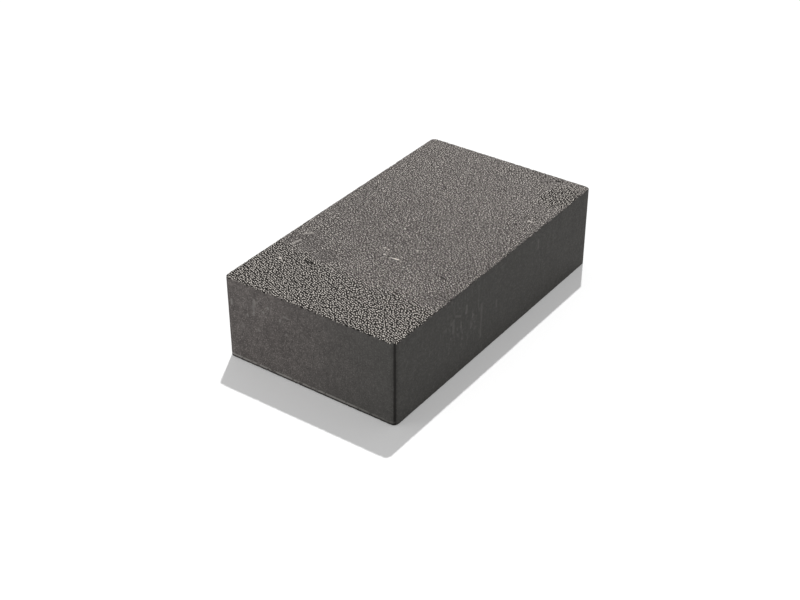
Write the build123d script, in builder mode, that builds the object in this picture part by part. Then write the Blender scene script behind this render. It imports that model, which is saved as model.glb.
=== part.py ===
from build123d import *

import os

# Paving brick: one block of pressed concrete, lying on its bed with the wear face up.
# The length runs along X, the width along Y, and the origin is the middle of the bed face.

# Driving dimensions, in millimetres
LENGTH = 230.0
WIDTH = 130.0
THICKNESS = 60.0
CORNER_RADIUS = 4.0  # upright corners, rounded by the corners of the mould box
WEAR_ARRIS_RADIUS = 1.0  # rim of the wear face, rounded where the stamp meets the mould wall
BED_ARRIS = 0.6  # small break round the bed face, where the mould lifts off

with BuildPart() as paving_brick:
    # The mould box gives the outline in plan, and the pressed layer fills it to its thickness
    with BuildSketch(Plane.XY):
        RectangleRounded(LENGTH, WIDTH, CORNER_RADIUS)
    extrude(amount=THICKNESS)

    # The rim of the wear face is rounded all the way round, through the four upright corners
    wear_face = paving_brick.faces().sort_by(Axis.Z)[-1]
    fillet(wear_face.edges(), radius=WEAR_ARRIS_RADIUS)

    # The rim of the bed face has a fine flat break
    bed_face = paving_brick.faces().sort_by(Axis.Z)[0]
    chamfer(bed_face.edges(), length=BED_ARRIS)

paving_brick.part.label = "paving_brick"

os.makedirs("parts", exist_ok=True)
export_step(paving_brick.part, "parts/paving_brick.step")
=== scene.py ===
"""Dresses the paving brick with relief and finish, and sets the floor, the light and the camera."""
import math

import bpy
import numpy as np
from bpy.props import FloatProperty, FloatVectorProperty, IntProperty, PointerProperty
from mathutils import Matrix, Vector


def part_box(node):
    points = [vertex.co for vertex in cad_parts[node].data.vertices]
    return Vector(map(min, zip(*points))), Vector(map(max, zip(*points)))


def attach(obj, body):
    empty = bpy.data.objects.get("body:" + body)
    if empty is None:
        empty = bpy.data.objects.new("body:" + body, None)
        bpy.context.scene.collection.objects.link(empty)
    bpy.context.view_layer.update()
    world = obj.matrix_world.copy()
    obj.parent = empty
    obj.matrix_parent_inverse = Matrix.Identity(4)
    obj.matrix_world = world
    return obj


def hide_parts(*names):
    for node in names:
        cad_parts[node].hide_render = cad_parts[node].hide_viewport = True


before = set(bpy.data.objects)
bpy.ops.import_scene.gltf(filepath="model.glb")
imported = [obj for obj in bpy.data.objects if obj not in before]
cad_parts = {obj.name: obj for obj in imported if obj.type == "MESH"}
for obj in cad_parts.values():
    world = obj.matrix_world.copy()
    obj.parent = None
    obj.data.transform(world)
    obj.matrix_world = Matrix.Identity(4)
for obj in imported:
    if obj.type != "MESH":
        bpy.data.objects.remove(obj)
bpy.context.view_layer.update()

bl_info = {
    "name": "Paving Brick",
    "version": (1, 0, 0),
    "blender": (4, 5, 0),
    "location": "View3D > Sidebar > Paving Brick",
    "description": "Models a pressed concrete paving brick on its solid and sets it on a studio floor",
    "category": "Object",
}

NODE = "paving_brick"
PIECE = "pressed_block"
BODY = "root"
LOW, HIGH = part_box(NODE)
MM = 0.001
# Planes of the near end and the near long side, in millimetres along X and Y
NEAR_END = LOW.x / MM
NEAR_SIDE = LOW.y / MM

# Attribute that keeps each point's place on the plain block, before the relief moves it
REST_PLACE = "rest_place"
# Layout that the finish is baked on, the pixels on a side of its picture, and the free pixels round each face
BAKE_MAP = "OFBake"
BAKE_PIXELS = 1024
BAKE_MARGIN = 8.0

# Cuts of the block: each number divides the edges that the one before it left
LENGTH_PARTS = (85, 4)
WIDTH_PARTS = (65, 3)

# Marks on the wear face, in millimetres along X and Y: the two ends, half the width, and the strength
# The dark marks are pits and hairlines, sunk into the face and painted near black: painted shade inside them
DARK_MARKS = (
    ((-71.9, 34.6), (-72.1, 27.2), 0.80, 1.00),
    ((-65.3, 39.8), (-65.3, 39.2), 0.85, 0.80),
    ((-3.4, 5.0), (-4.1, 1.4), 0.75, 0.70),
    ((-4.1, 1.4), (-6.0, -16.9), 0.65, 0.45),
    ((-6.0, -16.9), (-8.3, -32.8), 0.65, 0.35),
    ((-6.2, -40.0), (-6.2, -40.8), 0.80, 0.70),
    ((-56.4, -56.1), (-58.1, -63.8), 0.70, 0.60),
    ((-39.0, -44.9), (-39.7, -48.6), 0.80, 0.95),
    ((109.7, -40.9), (109.6, -45.1), 0.95, 1.00),
    ((42.8, -47.4), (42.8, -49.4), 0.80, 0.95),
    ((56.5, 16.9), (57.7, 14.7), 0.70, 0.75),
    ((11.8, -22.5), (11.8, -24.0), 0.80, 0.85),
)
PALE_MARKS = (
    ((-37.8, -9.0), (-37.5, -12.2), 0.80, 0.75),
    ((-38.7, -6.7), (-37.8, -9.0), 0.70, 0.25),
    ((-30.7, 3.2), (-30.7, 2.8), 1.00, 0.50),
    ((-31.3, 0.0), (-31.3, -0.4), 0.90, 0.55),
    ((-37.2, -1.2), (-37.2, -1.6), 1.00, 0.55),
    ((-22.1, -15.7), (-22.1, -16.1), 1.00, 0.50),
    ((-3.8, 6.6), (-3.8, 6.2), 0.90, 0.60),
    ((51.1, -53.6), (51.2, -56.2), 0.90, 0.45),
    ((-78.4, 49.8), (-78.4, 49.0), 1.10, 0.65),
    ((-60.7, 54.1), (-53.8, 53.1), 1.30, 0.22),
    ((-46.4, 55.7), (-42.4, 52.2), 1.30, 0.22),
)
# Pale lime runs on the near long side, as the marks above but along X and Z
SIDE_RUNS = (
    ((-53.9, 42.7), (-53.9, 34.4), 1.70, 0.35),
    ((-51.9, 45.2), (-46.3, 42.1), 1.20, 0.32),
    ((-39.4, 45.8), (-39.4, 41.3), 1.50, 0.45),
    ((-33.9, 30.2), (-33.9, 27.1), 1.30, 0.30),
    ((-21.6, 37.9), (-22.3, 13.6), 1.40, 0.30),
    ((-4.0, 31.4), (-4.0, 26.6), 1.30, 0.30),
    ((46.2, 51.4), (46.2, 45.0), 1.40, 0.27),
)
# Pale lime specks on the near end, along Y and Z
END_SPECKS = (
    ((41.3, 51.0), (42.1, 39.4), 1.20, 0.55),
    ((59.9, 44.1), (59.9, 41.1), 1.10, 0.90),
    ((30.4, 48.9), (30.4, 48.3), 1.20, 0.90),
    ((34.2, 44.6), (34.2, 44.0), 1.10, 0.75),
    ((21.2, 43.6), (21.2, 43.0), 1.20, 0.80),
    ((18.0, 47.2), (15.0, 46.8), 1.00, 0.60),
    ((47.0, 37.4), (47.0, 36.8), 1.10, 0.70),
    ((16.2, 34.8), (16.2, 34.2), 1.10, 0.60),
    ((38.8, 29.7), (38.8, 29.1), 1.10, 0.60),
)
# Grains of the wear face, in millimetres from one to the next, and how their rows are turned in degrees
LARGE_GRAIN = 2.2
SMALL_GRAIN = 1.45
SMALL_TURN = 20.0
HOLLOW_TURN = 80.0
# Strength of the open grain and of the smooth places, and of the closed grain at two places along X
OPEN_GRAIN = 1.10
SMOOTH_GRAIN = 0.34
CLOSED_GRAIN = ((-64.0, 0.495), (-12.0, 0.415))
# Tone that the open grain is drawn on, and the closed grain's at two places along X
OPEN_TONE = 0.105
CLOSED_TONE = ((-64.0, 0.380), (100.0, 0.425))
# Ragged edge of the open grain along the near end, in millimetres: places along Y, and the edge's X there
COARSE_EDGE = (
    (-65.0, -73.0),
    (-20.0, -73.5),
    (24.0, -72.0),
    (45.0, -66.0),
    (65.0, -62.0),
)
# Open patch near a corner of the far end, in millimetres: middle along X and Y, radius, and its full part's
COARSE_PATCH = ((90.0, -56.0), 17.0, 9.0)
# Places where the wear face is closed and smooth, in millimetres: middle along X and Y, and radius
SMOOTH_PATCHES = (
    ((-52.0, 50.0), 17.0),
    ((-60.0, 29.0), 11.0),
    ((-60.0, -58.0), 13.0),
)
# Warm lime film on the sides, in millimetres: middle of the patch, radius and strength. The first patch, on
# the near end, is also painted light that makes that end lighter towards its far corner
WARM_AND_LIT_PATCHES = (
    ((-115.0, 60.0, 36.0), 135.0, 1.00),
    ((115.0, 20.0, 34.0), 50.0, 0.50),
    ((-20.0, 65.0, 30.0), 60.0, 0.60),
)
# Pale bloom in upright runs on the sides, in millimetres: middle of the patch, radius and strength
BLOOM_PATCHES = (
    ((-115.0, 50.0, 46.0), 34.0, 0.80),
    ((-42.0, -65.0, 36.0), 36.0, 1.00),
    ((56.0, -65.0, 44.0), 24.0, 0.60),
    ((115.0, 26.0, 40.0), 34.0, 0.80),
    ((40.0, 65.0, 34.0), 40.0, 0.80),
)
# Dark line on each rounded upright corner: the corner's side along X and Y, how many degrees its middle is
# turned from the long side, half the width in millimetres, and the strength
CORNER_LINES = (
    (-1, -1, 45.0, 1.15, 0.85),
    (1, -1, 20.0, 1.30, 0.50),
    (-1, 1, 70.0, 1.00, 0.40),
    (1, 1, 45.0, 1.15, 0.85),
)


class BrickSizes(bpy.types.PropertyGroup):
    """Sizes of the brick and of the relief in its faces."""

    length: FloatProperty(
        name="Length", description="Along X", default=HIGH.x - LOW.x, unit="LENGTH")
    width: FloatProperty(
        name="Width", description="Along Y", default=HIGH.y - LOW.y, unit="LENGTH")
    thickness: FloatProperty(
        name="Thickness", description="From the bed to the wear face", default=HIGH.z - LOW.z, unit="LENGTH")
    corner_radius: FloatProperty(
        name="Corner Radius", description="Rounding of the upright corners", default=4 * MM, unit="LENGTH")
    side_rows: IntProperty(
        name="Side Rows", description="Rows of faces from the bed to the wear face", default=22, min=4)
    coarse_depth: FloatProperty(
        name="Coarse Depth", description="Relief of the open grain at the near end",
        default=0.45 * MM, unit="LENGTH")
    fine_depth: FloatProperty(
        name="Fine Depth", description="Relief of the closed grain", default=0.20 * MM, unit="LENGTH")
    mark_depth: FloatProperty(
        name="Mark Depth", description="Depth of the pits and hairlines", default=0.4 * MM, unit="LENGTH")
    skin_depth: FloatProperty(
        name="Skin Depth", description="Relief of the moulded sides", default=0.12 * MM, unit="LENGTH")
    pore_depth: FloatProperty(
        name="Pore Depth", description="Depth of the air pores in the sides", default=0.4 * MM, unit="LENGTH")
    bed_depth: FloatProperty(
        name="Bed Depth", description="Relief of the bed face", default=0.6 * MM, unit="LENGTH")
    chip_depth: FloatProperty(
        name="Chip Depth", description="Depth of the crumbled places along the rim of the wear face",
        default=0.8 * MM, unit="LENGTH")


class ConcreteColours(bpy.types.PropertyGroup):
    """Colours of the concrete, as plain linear values."""

    # Gap is near black: painted shade in the gaps between the grains, in the pits and hairlines and along the
    # bed's rim; it also colours the dark corner lines
    gap: FloatVectorProperty(
        name="Gap", description="Deep gaps between the grains", subtype="COLOR",
        default=(0.0135, 0.012, 0.0106))
    # Dark Grain is also the painted shade in the air pores, the crumbled spots and the bed's pock marks
    dark_grain_and_hollow_shade: FloatVectorProperty(
        name="Dark Grain", description="Dark sand grains", subtype="COLOR", default=(0.054, 0.048, 0.0448))
    paste: FloatVectorProperty(
        name="Paste", description="Pigmented cement paste", subtype="COLOR", default=(0.160, 0.147, 0.141))
    light_grain: FloatVectorProperty(
        name="Light Grain", description="Sand grains under a thin film", subtype="COLOR",
        default=(0.358, 0.328, 0.308))
    pale_grain: FloatVectorProperty(
        name="Pale Grain", description="Bare sand grains", subtype="COLOR", default=(0.92, 0.86, 0.79))
    skin: FloatVectorProperty(
        name="Skin", description="Smooth moulded sides", subtype="COLOR", default=(0.138, 0.134, 0.126))
    # Warm film colour; on the near end it is also painted light
    warm_skin_and_light: FloatVectorProperty(
        name="Warm Skin", description="Warm lime film on the sides", subtype="COLOR",
        default=(0.194, 0.175, 0.166))
    bloom: FloatVectorProperty(
        name="Bloom", description="Pale lime bloom", subtype="COLOR", default=(0.55, 0.53, 0.50))


class StageSettings(bpy.types.PropertyGroup):
    """Floor, light and camera."""

    floor_size: FloatProperty(
        name="Floor Size", description="Side of the square floor", default=12.0, unit="LENGTH")
    azimuth: FloatProperty(
        name="Azimuth", description="Turn of the camera about the brick", subtype="ANGLE",
        default=math.radians(-54.714))
    elevation: FloatProperty(
        name="Elevation", description="Height angle of the camera", subtype="ANGLE",
        default=math.radians(33.119))
    distance: FloatProperty(
        name="Distance", description="From the camera to its aim", default=0.92285, unit="LENGTH")
    aim: FloatVectorProperty(
        name="Aim", description="Point at the middle of the picture", subtype="XYZ", unit="LENGTH",
        default=(-0.03739, -0.01340, 0.030))
    lens: FloatProperty(
        name="Lens", description="Focal length in millimetres on a sensor 36 mm wide", default=65.139)
    sun_lean: FloatVectorProperty(
        name="Sun Lean", description="Shift of the shadow for each unit of height", size=2,
        default=(-0.455, -0.230))
    sun_strength: FloatProperty(
        name="Sun Strength", description="Light of the lamp behind the brick", default=2.45)
    sun_angle: FloatProperty(
        name="Sun Angle", description="Width of that lamp, which softens the shadow", subtype="ANGLE",
        default=math.radians(1.2))
    sky_strength: FloatProperty(
        name="Sky Strength", description="Even light from all round", default=0.36)
    end_power: FloatProperty(
        name="End Power", description="Soft light on the near end, in watts", default=0.42)
    end_place: FloatVectorProperty(
        name="End Place", description="Place of that soft light", subtype="XYZ", unit="LENGTH",
        default=(-0.45, 0.30, 0.12))
    end_size: FloatProperty(
        name="End Size", description="Side of that square light", default=0.25, unit="LENGTH")


class NodeSketch:
    """Adds nodes to a tree and joins them, in a material and in a modelling tree alike."""

    def __init__(self, tree):
        self.tree = tree

    def add(self, kind, feeds=None, **settings):
        node = self.tree.nodes.new(kind)
        for name, value in settings.items():
            setattr(node, name, value)
        for name, value in (feeds or {}).items():
            self.feed(node.inputs[name], value)
        return node

    def feed(self, socket, value):
        if isinstance(value, bpy.types.NodeSocket):
            self.tree.links.new(value, socket)
        else:
            socket.default_value = value

    def math(self, operation, *values):
        node = self.add("ShaderNodeMath", dict(enumerate(values)), operation=operation)
        return node.outputs[0]

    def total(self, first, *others):
        for other in others:
            first = self.math("ADD", first, other)
        return first

    def spread(self, value, by, base):
        """Stretches a value by a factor and adds a base to it."""
        return self.math("MULTIPLY_ADD", value, by, base)

    def product(self, first, *others):
        for other in others:
            first = self.math("MULTIPLY", first, other)
        return first

    def vector(self, operation, *values):
        node = self.add("ShaderNodeVectorMath", dict(enumerate(values)), operation=operation)
        return node.outputs["Value" if operation in {"DISTANCE", "DOT_PRODUCT"} else "Vector"]

    def scaled(self, vector, factor):
        node = self.add("ShaderNodeVectorMath", {"Vector": vector, "Scale": factor}, operation="SCALE")
        return node.outputs["Vector"]

    def split(self, vector):
        node = self.add("ShaderNodeSeparateXYZ", {"Vector": vector})
        return node.outputs["X"], node.outputs["Y"], node.outputs["Z"]

    def join(self, x, y, z):
        return self.add("ShaderNodeCombineXYZ", {"X": x, "Y": y, "Z": z}).outputs["Vector"]

    def ramp(self, value, start, end, low=0.0, high=1.0):
        """Goes smoothly from low to high as the value goes from start to end."""
        feeds = {"Value": value, "From Min": start, "From Max": end, "To Min": low, "To Max": high}
        return self.add("ShaderNodeMapRange", feeds, interpolation_type="SMOOTHSTEP").outputs["Result"]

    def blend(self, factor, a, b):
        """Mixes two numbers."""
        return self.add("ShaderNodeMix", {0: factor, 2: a, 3: b}, data_type="FLOAT").outputs[0]

    def tint(self, factor, a, b, way="MIX"):
        """Mixes two colours."""
        feeds = {0: factor, 6: a, 7: b}
        return self.add("ShaderNodeMix", feeds, data_type="RGBA", blend_type=way).outputs[2]

    def gradient(self, factor, stops):
        """Colour at a factor, between evenly spaced stops."""
        node = self.add("ShaderNodeValToRGB", {"Fac": factor})
        elements = node.color_ramp.elements
        last = len(stops) - 1
        for number in range(1, last):
            elements.new(number / last)
        for element, stop in zip(elements, stops):
            element.color = stop
        return node.outputs["Color"]

    def noise(self, place, size, detail=2.0, roughness=0.5):
        """Cloudy value around a half, with lumps of about the given size."""
        feeds = {"Vector": place, "Scale": 1.0 / size, "Detail": detail, "Roughness": roughness}
        return self.add("ShaderNodeTexNoise", feeds).outputs["Fac"]

    def wander(self, place, size, reach):
        """Moves the place about, so that what is drawn there gets irregular."""
        feeds = {"Vector": place, "Scale": 1.0 / size, "Detail": 1.0}
        cloud = self.add("ShaderNodeTexNoise", feeds).outputs["Color"]
        shift = self.scaled(self.vector("SUBTRACT", cloud, (0.5, 0.5, 0.5)), 2.0 * reach)
        return self.vector("ADD", place, shift)

    def turned(self, place, degrees):
        """Turns the place about Z, so that rows of grains don't follow the block's edges."""
        feeds = {"Vector": place, "Angle": math.radians(degrees)}
        return self.add("ShaderNodeVectorRotate", feeds, rotation_type="Z_AXIS").outputs["Vector"]

    def cells(self, place, size, scatter=0.9, dimensions="2D"):
        """How far out in its grain a place lies, and three random numbers of that grain."""
        feeds = {"Vector": place, "Scale": 1.0 / size, "Randomness": scatter}
        node = self.add("ShaderNodeTexVoronoi", feeds, voronoi_dimensions=dimensions)
        return node.outputs["Distance"], self.split(node.outputs["Color"])

    def pattern(self, tree, place):
        """Places a pattern's group."""
        modelling = self.tree.bl_idname == "GeometryNodeTree"
        node = self.add("GeometryNodeGroup" if modelling else "ShaderNodeGroup", node_tree=tree)
        self.feed(node.inputs["Place"], place)
        return node.outputs


def pattern_group(name, kind, outputs, draw):
    """A node group that turns a place on the plain block into the values that draw works out."""
    tree = bpy.data.node_groups.new(name, kind)
    tree.interface.new_socket("Place", in_out="INPUT", socket_type="NodeSocketVector")
    for output in outputs:
        tree.interface.new_socket(output, in_out="OUTPUT", socket_type="NodeSocketFloat")
    sketch = NodeSketch(tree)
    start = sketch.add("NodeGroupInput")
    end = sketch.add("NodeGroupOutput")
    place = sketch.scaled(start.outputs["Place"], 1.0 / MM)
    for output, value in zip(outputs, draw(sketch, place)):
        sketch.feed(end.inputs[output], value)
    return tree


def draw_marks(sketch, flat, marks):
    """Strength of straight marks at a place on a face: 1 on a full mark, 0 off it."""
    found = 0.0
    for start, end, half_width, strength in marks:
        run = Vector((*end, 0.0)) - Vector((*start, 0.0))
        from_start = sketch.vector("SUBTRACT", flat, (*start, 0.0))
        along = sketch.vector("DOT_PRODUCT", from_start, run.normalized())
        held = sketch.math("MINIMUM", sketch.math("MAXIMUM", along, 0.0), run.length)
        off = sketch.vector("DISTANCE", from_start, sketch.scaled(run.normalized(), held))
        found = sketch.math("MAXIMUM", found, sketch.ramp(off, half_width, half_width * 0.5, high=strength))
    return found


def draw_patches(sketch, place, patches):
    """Soft round patches: full in the middle, nothing past the radius."""
    found = 0.0
    for middle, radius, strength in patches:
        far = sketch.vector("DISTANCE", place, middle)
        found = sketch.math("MAXIMUM", found, sketch.ramp(far, radius, radius * 0.2, high=strength))
    return found


def draw_openness(sketch, place):
    """How open the sand grain is: 1 in the ragged band along the near end, less behind it."""
    x, y, _ = sketch.split(place)
    flat = sketch.join(x, y, 0.0)
    drift = sketch.spread(sketch.noise(place, size=9.0, detail=4.0, roughness=0.65), by=26.0, base=-13.0)
    edge = COARSE_EDGE[0][1]
    for (y_from, x_from), (y_to, x_to) in zip(COARSE_EDGE, COARSE_EDGE[1:]):
        edge = sketch.math("ADD", edge, sketch.ramp(y, y_from, y_to, high=x_to - x_from))
    past = sketch.math("SUBTRACT", sketch.math("ADD", x, drift), edge)
    band = sketch.ramp(past, 4.0, -4.0)
    patch_middle, patch_radius, patch_core = COARSE_PATCH
    from_patch = sketch.vector("DISTANCE", flat, (*patch_middle, 0.0))
    patch = sketch.ramp(sketch.math("ADD", from_patch, drift), patch_radius, patch_core)

    smooth = 0.0
    for middle, radius in SMOOTH_PATCHES:
        off = sketch.math("ADD", sketch.vector("DISTANCE", flat, (*middle, 0.0)), drift)
        smooth = sketch.math("MAXIMUM", smooth, sketch.ramp(off, radius, radius * 0.4))
    uneven = sketch.spread(sketch.noise(place, size=12.0, detail=3.0), by=0.24, base=-0.12)
    (x_from, grain_from), (x_to, grain_to) = CLOSED_GRAIN
    closing = sketch.math("ADD", sketch.ramp(x, x_from, x_to, low=grain_from, high=grain_to), uneven)
    closed = sketch.blend(smooth, closing, SMOOTH_GRAIN)
    return sketch.blend(sketch.math("MAXIMUM", band, patch), closed, OPEN_GRAIN)


def draw_wear_grain(sketch, place):
    """Wear face: depth of the large grains, height of the fine ones, openness, tone with painted shade in the
    gaps and small hollows, dark and pale marks.
    """
    openness = draw_openness(sketch, place)
    loose = sketch.wander(place, size=1.6, reach=0.15)
    large, (large_height, large_bare, _) = sketch.cells(loose, LARGE_GRAIN)
    small, (small_height, small_tone, small_gap) = sketch.cells(
        sketch.turned(loose, SMALL_TURN), SMALL_GRAIN, scatter=0.6)
    elsewhere = sketch.vector("ADD", loose, (37.0, 53.0, 0.0))
    hollow, (hollow_tone, _, _) = sketch.cells(
        sketch.turned(elsewhere, HOLLOW_TURN), SMALL_GRAIN, scatter=0.8)
    gaps = sketch.ramp(small, 0.217, 0.33)
    # Painted shade: dark dots for small hollows that the relief leaves out
    hollow_shade = sketch.product(
        sketch.ramp(hollow, 0.523, 0.20), sketch.spread(hollow_tone, by=0.17, base=0.36))

    # A grain is a dome of its own height, and the gaps round it go down to the full depth
    large_dome = sketch.product(
        sketch.ramp(large, 0.62, 0.20), sketch.spread(large_height, by=0.65, base=0.35))
    small_dome = sketch.product(
        sketch.ramp(small, 0.52, 0.14), sketch.spread(small_height, by=0.6, base=0.4))
    depth = sketch.math("SUBTRACT", 1.0, sketch.blend(0.5, large_dome, small_dome))

    # Tone runs from 0, the painted shade in a gap, over a half, the paste, to 1, a bare pale grain
    bare = sketch.spread(sketch.math("POWER", small_tone, 4.0), by=0.80, base=0.31)
    # Painted shade: the gaps between the grains are darkened towards the near-black gap colour
    dark = sketch.product(
        gaps, sketch.spread(sketch.math("POWER", small_gap, 3.0), by=-0.60, base=-0.72))
    speck = sketch.product(sketch.ramp(small, 0.255, 0.152), bare)
    glint = sketch.product(sketch.ramp(large, 0.188, 0.094), sketch.ramp(large_bare, 0.80, 0.84, high=0.28))
    contrast = sketch.total(0.78, speck, glint, dark, sketch.math("MULTIPLY", hollow_shade, -1.0))
    x, y, _ = sketch.split(sketch.wander(place, size=4.0, reach=0.5))
    (x_from, tone_from), (x_to, tone_to) = CLOSED_TONE
    closed_level = sketch.ramp(x, x_from, x_to, low=tone_from, high=tone_to)
    level = sketch.blend(sketch.ramp(openness, 0.50, 1.0), closed_level, OPEN_TONE)
    tone = sketch.math("MULTIPLY_ADD", contrast, openness, level)
    flat = sketch.join(x, y, 0.0)
    dark_marks = draw_marks(sketch, flat, DARK_MARKS)
    pale_marks = draw_marks(sketch, flat, PALE_MARKS)
    return depth, small_dome, openness, tone, dark_marks, pale_marks


def draw_moulded_skin(sketch, place):
    """Sides: depth of the skin, air pores, mottled tone, warm film that is partly painted light on the near
    end, and pale bloom.
    """
    x, y, z = sketch.split(place)
    clouds = sketch.noise(place, size=11.0, detail=4.0, roughness=0.6)
    mottle = sketch.noise(place, size=2.6, detail=2.0)
    grain = sketch.noise(place, size=0.95, detail=1.0)
    drawn_out = sketch.join(x, y, sketch.math("MULTIPLY", z, 0.16))
    runs = sketch.noise(drawn_out, size=2.0, detail=3.0)
    pore, (pore_size, _, _) = sketch.cells(
        sketch.wander(place, size=2.0, reach=0.4), size=5.2, dimensions="3D")
    hole_reach = sketch.spread(pore_size, by=0.80, base=-0.68)
    pores = sketch.ramp(sketch.math("SUBTRACT", pore, hole_reach), 0.0, -0.06)

    ragged = sketch.wander(place, size=16.0, reach=9.0)
    # Warm film, which on the near end is also painted light
    warm = draw_patches(sketch, ragged, WARM_AND_LIT_PATCHES)
    patches = draw_patches(sketch, ragged, BLOOM_PATCHES)
    cloudy = sketch.product(patches, sketch.ramp(runs, 0.52, 0.72, high=0.6), sketch.ramp(mottle, 0.40, 0.62))
    bent_x, bent_y, bent_z = sketch.split(sketch.wander(place, size=4.0, reach=0.6))
    side_runs = sketch.product(
        draw_marks(sketch, sketch.join(bent_x, bent_z, 0.0), SIDE_RUNS),
        sketch.ramp(y, NEAR_SIDE + 5.0, NEAR_SIDE + 1.0))
    end_specks = sketch.product(
        draw_marks(sketch, sketch.join(bent_y, bent_z, 0.0), END_SPECKS),
        sketch.ramp(x, NEAR_END + 5.0, NEAR_END + 1.0))
    bloom = sketch.math("MAXIMUM", cloudy, sketch.math("MAXIMUM", side_runs, end_specks))

    depth = sketch.total(sketch.math("MULTIPLY", mottle, 0.5), sketch.math("MULTIPLY", clouds, 0.5))
    tone = sketch.total(
        sketch.spread(clouds, by=0.80, base=-0.40), sketch.spread(mottle, by=0.85, base=-0.425),
        sketch.spread(grain, by=1.20, base=-0.625), sketch.ramp(grain, 0.54, 0.72, high=0.3),
        sketch.spread(runs, by=0.20, base=-0.10))
    return depth, pores, tone, warm, bloom


def draw_bed(sketch, place):
    """Bed face: depth of its rough grain and its pock marks."""
    lumps = sketch.noise(place, size=6.0, detail=4.0, roughness=0.6)
    grain = sketch.noise(place, size=1.5, detail=2.0)
    pock, (pock_size, _, _) = sketch.cells(sketch.wander(place, size=2.2, reach=1.8), size=6.0)
    pock_reach = sketch.spread(pock_size, by=0.70, base=-0.42)
    pocks = sketch.ramp(sketch.math("SUBTRACT", pock, pock_reach), 0.04, -0.12)
    rough = sketch.ramp(sketch.blend(0.4, lumps, grain), 0.36, 0.70)
    return sketch.math("MAXIMUM", sketch.math("MULTIPLY", rough, 0.5), pocks), pocks


def draw_rims(sketch, place, sizes):
    """Rims: crumbled spots, reach of the sand, dark lines on corners, painted contact shade along the bed's
    rim, and lime above that line.
    """
    half_length = sizes.length / 2 / MM
    half_width = sizes.width / 2 / MM
    x, y, z = sketch.split(place)
    inside = sketch.math(
        "MINIMUM", sketch.math("SUBTRACT", half_length, sketch.math("ABSOLUTE", x)),
        sketch.math("SUBTRACT", half_width, sketch.math("ABSOLUTE", y)))
    below = sketch.math("SUBTRACT", sizes.thickness / MM, z)
    # The rim of the near end is the most worn
    worn = sketch.ramp(x, -half_length + 4.0, -half_length + 12.0, low=1.0, high=0.5)
    bites = sketch.noise(place, size=2.8, detail=3.0, roughness=0.6)
    near = sketch.ramp(sketch.math("ADD", inside, below), 2.8, 0.4)
    chips = sketch.product(near, sketch.ramp(bites, 0.50, 0.70), worn)
    reach = sketch.spread(sketch.product(sketch.math("SUBTRACT", bites, 0.5), worn), by=4.4, base=0.7)
    sand = sketch.ramp(sketch.math("SUBTRACT", below, reach), 0.35, -0.35)

    waver = sketch.spread(sketch.noise(place, size=4.0), by=0.8, base=-0.4)
    radius = sizes.corner_radius / MM
    plan = sketch.join(x, y, 0.0)
    corner_line = 0.0
    for side_x, side_y, turn, line_half_width, strength in CORNER_LINES:
        middle = (
            side_x * (half_length - radius + radius * math.sin(math.radians(turn))),
            side_y * (half_width - radius + radius * math.cos(math.radians(turn))), 0.0)
        off_line = sketch.math("ADD", sketch.vector("DISTANCE", plan, middle), waver)
        line = sketch.ramp(off_line, line_half_width, line_half_width * 0.4, high=strength)
        corner_line = sketch.math("MAXIMUM", corner_line, line)

    on_near_end = sketch.ramp(x, -half_length + 2.0, -half_length + 0.8)
    # Painted contact shade: a near-black line along the bed's rim, strongest on the near end
    bed_contact_shade = sketch.product(
        sketch.ramp(sketch.math("MULTIPLY_ADD", waver, 0.4, z), 2.0, 1.3),
        sketch.blend(on_near_end, 0.3, 1.0))
    broken = sketch.ramp(sketch.noise(place, size=3.0, detail=2.0), 0.34, 0.50)
    fading = sketch.ramp(y, -half_width + 4.0, -half_width + 40.0, low=0.25, high=1.0)
    bed_lime = sketch.product(
        sketch.ramp(z, 1.7, 2.1), sketch.ramp(z, 3.5, 2.9), broken, on_near_end, fading)
    return chips, sand, corner_line, bed_contact_shade, bed_lime


PATTERNS = {
    "wear_grain": (("Depth", "Fine", "Openness", "Tone", "Dark Marks", "Pale Marks"), draw_wear_grain),
    "moulded_skin": (("Depth", "Pores", "Tone", "Warm", "Bloom"), draw_moulded_skin),
    "bed": (("Depth", "Pocks"), draw_bed),
    "rims": (("Chips", "Sand", "Corner Line", "Bed Contact Shade", "Bed Lime"), draw_rims),
}


def make_patterns(kind, sizes):
    """All patterns of the concrete, as groups for a material or for a modelling tree."""
    made = {}
    for name, (outputs, draw) in PATTERNS.items():
        if draw is draw_rims:
            made[name] = pattern_group(name, kind, outputs, lambda s, p: draw_rims(s, p, sizes))
        else:
            made[name] = pattern_group(name, kind, outputs, draw)
    return made


def place_patterns(sketch, sizes, place):
    """Puts all patterns into a tree and gives their outputs, in the order of their names above."""
    made = make_patterns(sketch.tree.bl_idname, sizes)
    return [sketch.pattern(tree, place) for tree in made.values()]


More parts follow.
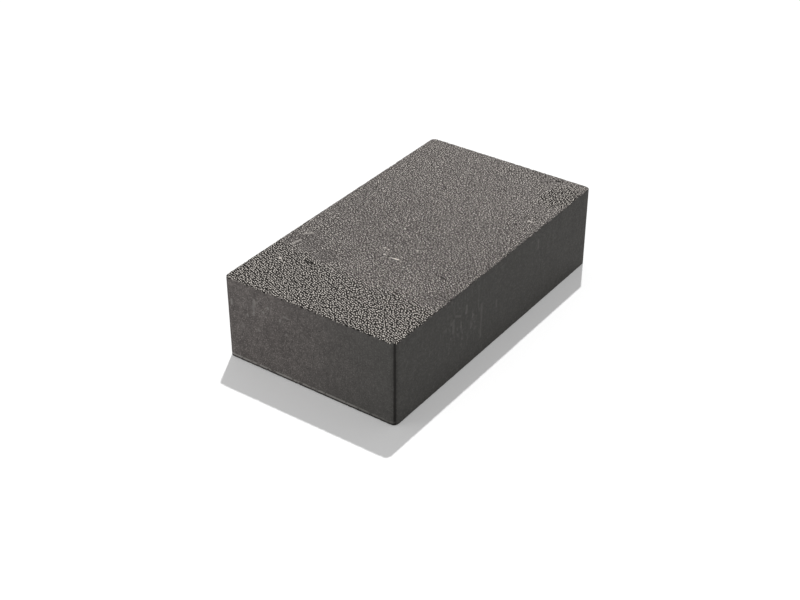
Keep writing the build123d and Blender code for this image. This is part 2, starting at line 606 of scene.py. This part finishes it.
def relief_tree(sizes):
    """Modelling tree that keeps each point's rest place and sinks the relief into the faces."""
    tree = bpy.data.node_groups.new("pressed_relief", "GeometryNodeTree")
    tree.interface.new_socket("Geometry", in_out="INPUT", socket_type="NodeSocketGeometry")
    tree.interface.new_socket("Geometry", in_out="OUTPUT", socket_type="NodeSocketGeometry")
    sketch = NodeSketch(tree)
    start = sketch.add("NodeGroupInput")
    end = sketch.add("NodeGroupOutput")

    place = sketch.add("GeometryNodeInputPosition").outputs[0]
    normal = sketch.add("GeometryNodeInputNormal").outputs[0]
    up = sketch.split(normal)[2]
    grain, skin, bed, rims = place_patterns(sketch, sizes, place)

    on_wear = sketch.ramp(up, 0.25, 0.85)
    on_bed = sketch.ramp(up, -0.25, -0.85)
    on_side = sketch.math("SUBTRACT", 1.0, sketch.math("ADD", on_wear, on_bed))

    grain_reach = sketch.ramp(grain["Openness"], 0.3, 1.0, low=sizes.fine_depth, high=sizes.coarse_depth)
    wear_depth = sketch.total(
        sketch.product(grain["Depth"], grain_reach), sketch.product(grain["Dark Marks"], sizes.mark_depth))
    skin_depth = sketch.total(
        sketch.product(skin["Depth"], sizes.skin_depth), sketch.product(skin["Pores"], sizes.pore_depth))
    depth = sketch.total(
        sketch.product(on_wear, wear_depth),
        sketch.product(on_side, skin_depth),
        sketch.product(on_bed, bed["Depth"], sizes.bed_depth),
        sketch.product(rims["Chips"], sizes.chip_depth))

    keep = sketch.add(
        "GeometryNodeStoreNamedAttribute",
        {"Geometry": start.outputs["Geometry"], "Name": REST_PLACE, "Value": place},
        data_type="FLOAT_VECTOR", domain="POINT")
    sink = sketch.add(
        "GeometryNodeSetPosition",
        {"Geometry": keep.outputs["Geometry"],
         "Offset": sketch.scaled(normal, sketch.math("MULTIPLY", depth, -1.0))})
    sketch.feed(end.inputs["Geometry"], sink.outputs["Geometry"])
    return tree


def concrete_material(sizes, colours):
    """Pressed concrete: sandy wear face, smooth moulded sides and rough bed, from one set of patterns."""
    material = bpy.data.materials.new("pressed_concrete")
    material.use_nodes = True
    sketch = NodeSketch(material.node_tree)
    shader = material.node_tree.nodes["Principled BSDF"]
    attribute = sketch.add("ShaderNodeAttribute", attribute_name=REST_PLACE)
    place = attribute.outputs["Vector"]
    grain, skin, bed, rims = place_patterns(sketch, sizes, place)

    # Sandy wear face
    tones = (colours.gap, colours.dark_grain_and_hollow_shade, colours.paste, colours.light_grain, colours.pale_grain)
    sand = sketch.gradient(grain["Tone"], [(*tone, 1.0) for tone in tones])
    sand = sketch.tint(grain["Pale Marks"], sand, (*colours.pale_grain, 1.0))
    # Painted shade: the pits and hairlines take the near-black gap colour
    sand = sketch.tint(grain["Dark Marks"], sand, (*colours.gap, 1.0))

    # Smooth moulded sides, lighter and warmer where lime has come out, and lighter towards the near end's far
    # corner as painted light
    strength = sketch.spread(skin["Warm"], by=0.75, base=0.5)
    lift = sketch.math("EXPONENT", sketch.math("MULTIPLY", skin["Tone"], strength))
    film = sketch.tint(skin["Warm"], (*colours.skin, 1.0), (*colours.warm_skin_and_light, 1.0))
    sides = sketch.tint(1.0, film, sketch.join(lift, lift, lift), way="MULTIPLY")
    for mask, share, colour in (
            (skin["Bloom"], 0.5, colours.bloom),
            # painted shade in the air pores
            (skin["Pores"], 0.6, colours.dark_grain_and_hollow_shade),
            # painted shade in the crumbled spots along the rim
            (rims["Chips"], 0.8, colours.dark_grain_and_hollow_shade),
            (rims["Corner Line"], 1.0, colours.gap),
            # painted contact shade along the bed's rim
            (rims["Bed Contact Shade"], 0.8, colours.gap),
            (rims["Bed Lime"], 0.7, colours.bloom)):
        sides = sketch.tint(sketch.math("MULTIPLY", mask, share), sides, (*colour, 1.0))

    # The bed is plain paste, with painted shade in its pock marks
    under = sketch.tint(
        sketch.math("MULTIPLY", bed["Pocks"], 0.7), (*colours.skin, 1.0), (*colours.dark_grain_and_hollow_shade, 1.0))
    height = sketch.split(place)[2]
    base = sketch.tint(rims["Sand"], sides, sand)
    base = sketch.tint(sketch.ramp(height, 0.5 * MM, 0.2 * MM), base, under)
    sketch.feed(shader.inputs["Base Color"], base)
    sketch.feed(shader.inputs["Roughness"], sketch.blend(rims["Sand"], 0.72, 0.92))
    shader.inputs["Specular IOR Level"].default_value = 0.2

    # Grain that is finer than the mesh
    dust = sketch.noise(sketch.scaled(place, 1.0 / MM), size=0.45, detail=3.0, roughness=0.65)
    sandy = sketch.total(sketch.product(grain["Fine"], grain["Openness"]), sketch.math("MULTIPLY", dust, 0.3))
    fine = sketch.blend(rims["Sand"], sketch.math("MULTIPLY", dust, 0.15), sandy)
    bump = sketch.add("ShaderNodeBump", {"Strength": 1.0, "Distance": 0.6 * MM, "Height": fine})
    sketch.feed(shader.inputs["Normal"], bump.outputs["Normal"])
    return material


def deselect_all():
    if bpy.context.mode != "OBJECT":
        bpy.ops.object.mode_set(mode="OBJECT")
    bpy.ops.object.select_all(action="DESELECT")


def apply_modifier(piece, name, kind, **settings):
    modifier = piece.modifiers.new(name, kind)
    for setting, value in settings.items():
        setattr(modifier, setting, value)
    bpy.ops.object.modifier_apply(modifier=modifier.name)


def lay_out_faces(piece, sizes):
    """Gives each face of the plain block its own rectangle in the bake layout, the wear face the largest."""
    layer = piece.data.uv_layers[0]
    layer.name = BAKE_MAP
    gap = BAKE_MARGIN / BAKE_PIXELS
    large = (1.0 - 2 * gap) / sizes.length
    small = (1.0 - 3 * gap) / (2 * sizes.length)
    left = gap
    right = 2 * gap + sizes.length * small
    low_row = gap
    end_row = low_row + sizes.thickness * small + gap
    upper_end_row = end_row + sizes.thickness * small + gap
    wear_row = end_row + sizes.width * small + gap
    # Outward direction, the two directions of the rectangle, its lowest corner, and its scale
    charts = (
        ((0, 0, 1), (1, 0, 0), (0, 1, 0), (left, wear_row), large),
        ((0, 0, -1), (1, 0, 0), (0, -1, 0), (left, end_row), small),
        ((0, -1, 0), (1, 0, 0), (0, 0, 1), (left, low_row), small),
        ((0, 1, 0), (-1, 0, 0), (0, 0, 1), (right, low_row), small),
        ((-1, 0, 0), (0, -1, 0), (0, 0, 1), (right, end_row), small),
        ((1, 0, 0), (0, 1, 0), (0, 0, 1), (right, upper_end_row), small),
    )
    for face in piece.data.polygons:
        _, along, up, corner, scale = max(charts, key=lambda chart: face.normal.dot(Vector(chart[0])))
        points = [piece.data.vertices[piece.data.loops[i].vertex_index].co for i in face.loop_indices]
        first = min(point.dot(Vector(along)) for point in points)
        lowest = min(point.dot(Vector(up)) for point in points)
        for i, point in zip(face.loop_indices, points):
            u = corner[0] + (point.dot(Vector(along)) - first) * scale
            v = corner[1] + (point.dot(Vector(up)) - lowest) * scale
            layer.data[i].uv = (u, v)


def values_of(items, name, width, kind=np.float32):
    """One property of a mesh's points, edges or faces, with a row for each of them."""
    values = np.empty(width * len(items), dtype=kind)
    items.foreach_get(name, values)
    return values.reshape(-1, width)


def edit_chosen(mesh, kind, chosen, edit, **settings):
    """Selects the chosen edges or faces alone and runs one edit on them."""
    for name in ("vertices", "edges", "polygons"):
        items = getattr(mesh, name)
        items.foreach_set("select", chosen if name == kind else np.zeros(len(items), dtype=bool))
    bpy.context.tool_settings.mesh_select_mode = (False, kind == "edges", kind == "polygons")
    bpy.ops.object.mode_set(mode="EDIT")
    edit(**settings)
    bpy.ops.object.mode_set(mode="OBJECT")


def cut_edges(piece, axis, parts):
    """Divides every edge that runs along an axis into so many parts."""
    mesh = piece.data
    places = values_of(mesh.vertices, "co", 3)
    ends = values_of(mesh.edges, "vertices", 2, np.int32)
    runs = np.abs(places[ends[:, 0]] - places[ends[:, 1]])
    along = runs.argmax(axis=1) == axis
    edit_chosen(mesh, "edges", along, bpy.ops.mesh.subdivide, number_cuts=parts - 1)


def crowd_rows(piece, sizes, share=0.72):
    """Draws the rows of the sides towards the two rims, where the arrises need them."""
    mesh = piece.data
    places = values_of(mesh.vertices, "co", 3)
    turn = 2 * math.pi * (places[:, 2] - LOW.z) / sizes.thickness
    places[:, 2] -= share * sizes.thickness * np.sin(turn) / (2 * math.pi)
    mesh.vertices.foreach_set("co", places.ravel())
    mesh.update()


def thin_bed(piece):
    """Widens the grid of the bed, which needs far fewer faces than the wear face."""
    mesh = piece.data
    middles = values_of(mesh.polygons, "center", 3)
    margin = 2 * MM
    inside = (
        (middles[:, 2] < LOW.z + 0.1 * margin)
        & (np.abs(middles[:, 0]) < HIGH.x - margin)
        & (np.abs(middles[:, 1]) < HIGH.y - margin))
    edit_chosen(mesh, "polygons", inside, bpy.ops.mesh.unsubdivide, iterations=4)


class PAVING_OT_make_brick(bpy.types.Operator):
    """Model the pressed block with its relief and give it its concrete finish"""

    bl_idname = "paving.make_brick"
    bl_label = "Make Paving Brick"
    bl_options = {"REGISTER", "UNDO"}

    def execute(self, context):
        sizes = context.scene.brick_sizes
        deselect_all()
        bpy.ops.mesh.primitive_cube_add(size=1.0, location=(LOW + HIGH) / 2)
        piece = context.active_object
        piece.name = PIECE
        piece.data.name = PIECE
        piece.scale = (sizes.length, sizes.width, sizes.thickness)
        bpy.ops.object.transform_apply(location=True, rotation=True, scale=True)
        lay_out_faces(piece, sizes)

        for axis, all_parts in enumerate((LENGTH_PARTS, WIDTH_PARTS, (sizes.side_rows,))):
            for parts in all_parts:
                cut_edges(piece, axis, parts)
        crowd_rows(piece, sizes)
        thin_bed(piece)

        # The solid gives the rounded corners and rims
        apply_modifier(
            piece, "Rounding", "SHRINKWRAP", target=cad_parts[NODE], wrap_method="NEAREST_SURFACEPOINT")
        apply_modifier(piece, "Relief", "NODES", node_group=relief_tree(sizes))
        bpy.ops.object.shade_smooth()

        piece.data.materials.append(concrete_material(sizes, context.scene.concrete_colours))
        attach(piece, BODY)
        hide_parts(NODE)
        return {"FINISHED"}


def seen_directly(sketch):
    """1 where the eye, a reflection or glass looks at a surface, 0 for the light that it throws back."""
    path = sketch.add("ShaderNodeLightPath").outputs
    return sketch.math(
        "MAXIMUM", path["Is Camera Ray"],
        sketch.math("MAXIMUM", path["Is Glossy Ray"], path["Is Transmission Ray"]))


def floor_material():
    """Pale floor: white to the eye with a light grey shadow, and a dark grey in the light it throws back."""
    material = bpy.data.materials.new("studio_floor")
    material.use_nodes = True
    sketch = NodeSketch(material.node_tree)
    shader = material.node_tree.nodes["Principled BSDF"]
    seen = seen_directly(sketch)
    thrown_back = (0.15, 0.15, 0.15, 1.0)
    to_the_eye = (0.80, 0.80, 0.80, 1.0)
    sketch.feed(shader.inputs["Base Color"], sketch.tint(seen, thrown_back, to_the_eye))
    sketch.feed(shader.inputs["Emission Color"], sketch.join(seen, seen, seen))
    shader.inputs["Emission Strength"].default_value = 0.23
    shader.inputs["Roughness"].default_value = 1.0
    shader.inputs["Specular IOR Level"].default_value = 0.0
    return material


def studio_world(strength):
    """White to the eye and a plain even grey as light."""
    world = bpy.data.worlds.new("studio")
    world.use_nodes = True
    sketch = NodeSketch(world.node_tree)
    background = world.node_tree.nodes["Background"]
    background.inputs["Color"].default_value = (1.0, 1.0, 1.0, 1.0)
    sketch.feed(background.inputs["Strength"], sketch.blend(seen_directly(sketch), strength, 1.0))
    return world


def aimed(lamp_or_camera, target):
    """Turns a lamp or a camera towards a point."""
    look = Vector(target) - lamp_or_camera.location
    lamp_or_camera.rotation_euler = look.to_track_quat("-Z", "Y").to_euler()


class PAVING_OT_set_stage(bpy.types.Operator):
    """Set the floor, the light and the camera"""

    bl_idname = "paving.set_stage"
    bl_label = "Set Stage"
    bl_options = {"REGISTER", "UNDO"}

    def execute(self, context):
        stage = context.scene.stage_settings
        scene = context.scene
        deselect_all()
        bpy.ops.mesh.primitive_plane_add(size=stage.floor_size, location=(0.0, 0.0, LOW.z))
        floor = context.active_object
        floor.name = "studio_floor"
        bpy.ops.object.transform_apply(location=True, rotation=True, scale=True)
        floor.data.materials.append(floor_material())

        scene.world = studio_world(stage.sky_strength)
        sun_height = 2.0
        bpy.ops.object.light_add(
            type="SUN",
            location=(-stage.sun_lean[0] * sun_height, -stage.sun_lean[1] * sun_height, sun_height))
        sun = context.active_object
        sun.name = "lamp_behind"
        sun.data.energy = stage.sun_strength
        sun.data.angle = stage.sun_angle
        aimed(sun, (0.0, 0.0, 0.0))

        bpy.ops.object.light_add(type="AREA", location=stage.end_place)
        soft = context.active_object
        soft.name = "soft_box_left"
        soft.data.energy = stage.end_power
        soft.data.size = stage.end_size
        soft_aim = (LOW.x, HIGH.y, 0.04)
        aimed(soft, soft_aim)

        across = math.cos(stage.elevation) * stage.distance
        eye = Vector(stage.aim) + Vector((
            math.sin(stage.azimuth) * across,
            -math.cos(stage.azimuth) * across,
            math.sin(stage.elevation) * stage.distance))
        bpy.ops.object.camera_add(location=eye)
        camera = context.active_object
        camera.name = "photo_camera"
        camera.data.sensor_width = 36.0
        camera.data.lens = stage.lens
        camera.data.clip_start = 0.01
        aimed(camera, stage.aim)
        scene.camera = camera
        scene.view_settings.view_transform = "Standard"
        return {"FINISHED"}


class PAVING_PT_panel(bpy.types.Panel):
    """Sizes, colours and stage of the paving brick"""

    bl_label = "Paving Brick"
    bl_idname = "PAVING_PT_panel"
    bl_space_type = "VIEW_3D"
    bl_region_type = "UI"
    bl_category = "Paving Brick"

    def draw(self, context):
        layout = self.layout
        for title, settings, operator in (
                ("Sizes", context.scene.brick_sizes, PAVING_OT_make_brick),
                ("Colours", context.scene.concrete_colours, None),
                ("Stage", context.scene.stage_settings, PAVING_OT_set_stage)):
            box = layout.box()
            box.label(text=title)
            for name in settings.__annotations__:
                box.prop(settings, name)
            if operator:
                box.operator(operator.bl_idname)


CLASSES = (
    BrickSizes, ConcreteColours, StageSettings, PAVING_OT_make_brick, PAVING_OT_set_stage, PAVING_PT_panel)


def register():
    for cls in CLASSES:
        bpy.utils.register_class(cls)
    bpy.types.Scene.brick_sizes = PointerProperty(type=BrickSizes)
    bpy.types.Scene.concrete_colours = PointerProperty(type=ConcreteColours)
    bpy.types.Scene.stage_settings = PointerProperty(type=StageSettings)


def unregister():
    del bpy.types.Scene.stage_settings
    del bpy.types.Scene.concrete_colours
    del bpy.types.Scene.brick_sizes
    for cls in reversed(CLASSES):
        bpy.utils.unregister_class(cls)


def main():
    register()
    bpy.ops.paving.make_brick()
    bpy.ops.paving.set_stage()


if __name__ == "__main__":
    main()
